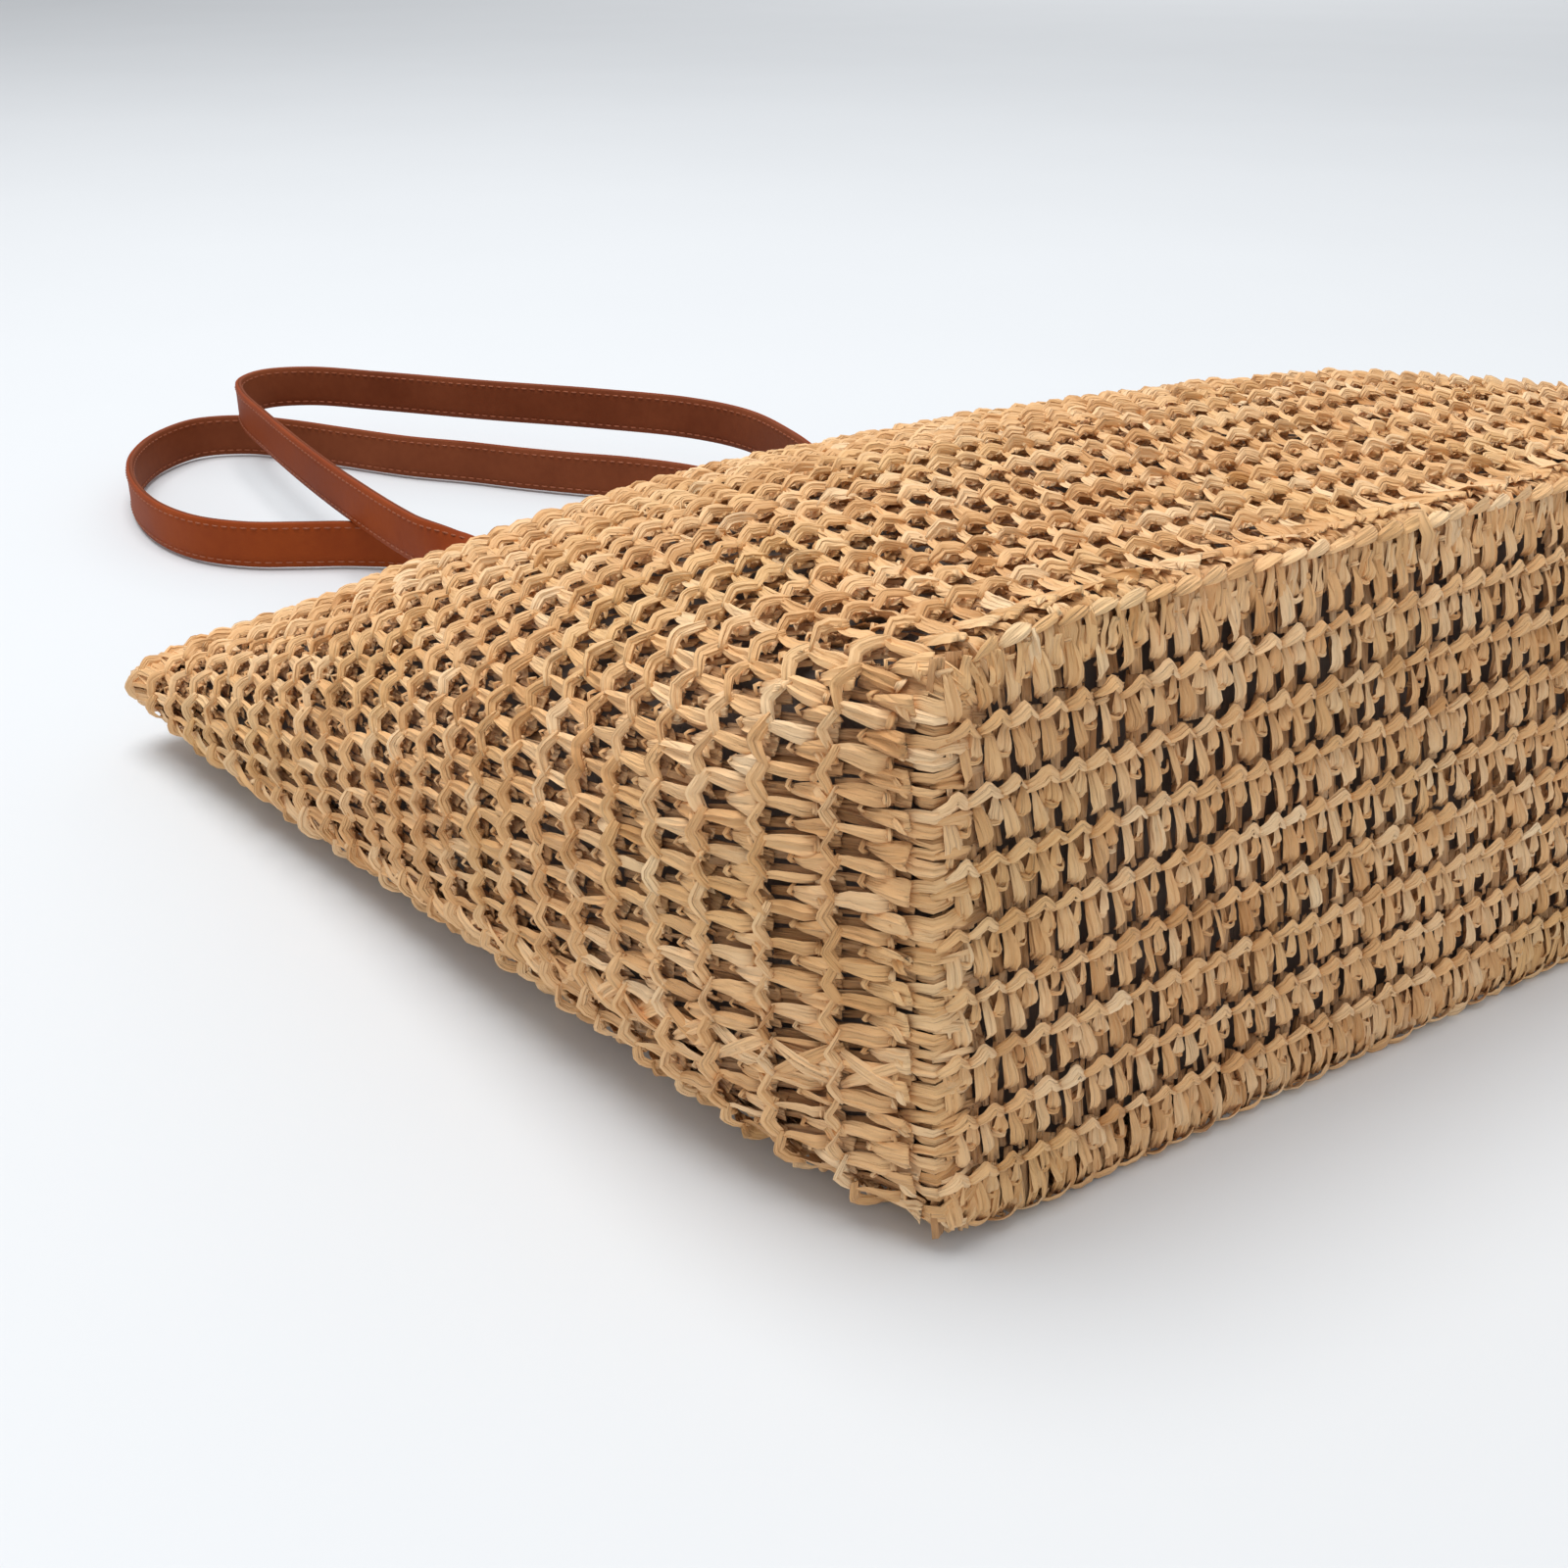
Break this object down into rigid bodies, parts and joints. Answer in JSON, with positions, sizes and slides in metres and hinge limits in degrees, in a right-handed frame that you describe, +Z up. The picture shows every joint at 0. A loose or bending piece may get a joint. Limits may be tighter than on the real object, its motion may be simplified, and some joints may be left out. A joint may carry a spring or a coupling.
{
  "type": "beach bag",
  "caption": "Crocheted raffia beach tote lying on its front panel, with a flat rectangular base, an open lined mouth and flat stitched leather shoulder straps that swing at the mouth.",
  "frame": {"origin": "centre of the bounding box at its lowest plane, with the bag lying on its front panel and the straps laid out behind the mouth", "axes": "+Z up, away from the ground the bag lies on; +Y from the base to the mouth and along the straps; +X along the base, towards the bag's right side"},
  "size_m": [0.454, 0.706, 0.14],
  "materials": {
    "raffia": "crocheted paper raffia, crumpled flat ribbon with a faint sheen",
    "lining": "plain matt grey-brown cotton",
    "strap_leather": "smooth tan-brown leather with a soft sheen, stitched near both edges",
    "backing_leather": "matt tan-brown leather",
    "rivet_brass": "satin antique brass plating"
  },
  "bodies": {
    "bag": {"base_panel": "raffia", "base_edge_chain": "raffia", "front_panel": "raffia", "back_panel": "raffia", "left_side": "raffia", "right_side": "raffia", "front_rim": "raffia", "back_rim": "raffia", "lining_base": "lining", "lining_front": "lining", "lining_back": "lining", "lining_left": "lining", "lining_right": "lining", "back_strap_end_left": "strap_leather", "back_strap_end_right": "strap_leather", "front_strap_end_left": "strap_leather", "front_strap_end_right": "strap_leather", "back_patch_left": "backing_leather", "back_patch_right": "backing_leather", "front_patch_left": "backing_leather", "front_patch_right": "backing_leather", "back_rivet_left_1": "rivet_brass", "back_rivet_left_2": "rivet_brass", "back_rivet_right_1": "rivet_brass", "back_rivet_right_2": "rivet_brass", "front_rivet_left_1": "rivet_brass", "front_rivet_left_2": "rivet_brass", "front_rivet_right_1": "rivet_brass", "front_rivet_right_2": "rivet_brass"},
    "back_strap": {"back_strap_face": "strap_leather", "back_strap_backing": "backing_leather"},
    "front_strap": {"front_strap_face": "strap_leather", "front_strap_backing": "backing_leather"}
  },
  "joints": [
    {"name": "back_strap_swing", "type": "hinge", "parent": "bag", "child": "back_strap", "pos_m": [0, 0.00647, 0.04012], "axis": [1, 0, 0], "range_deg": [0, 125]},
    {"name": "front_strap_swing", "type": "hinge", "parent": "bag", "child": "front_strap", "pos_m": [0, 0.0176, 0.00519], "axis": [1, 0, 0], "range_deg": [-125, 0]}
  ]
}
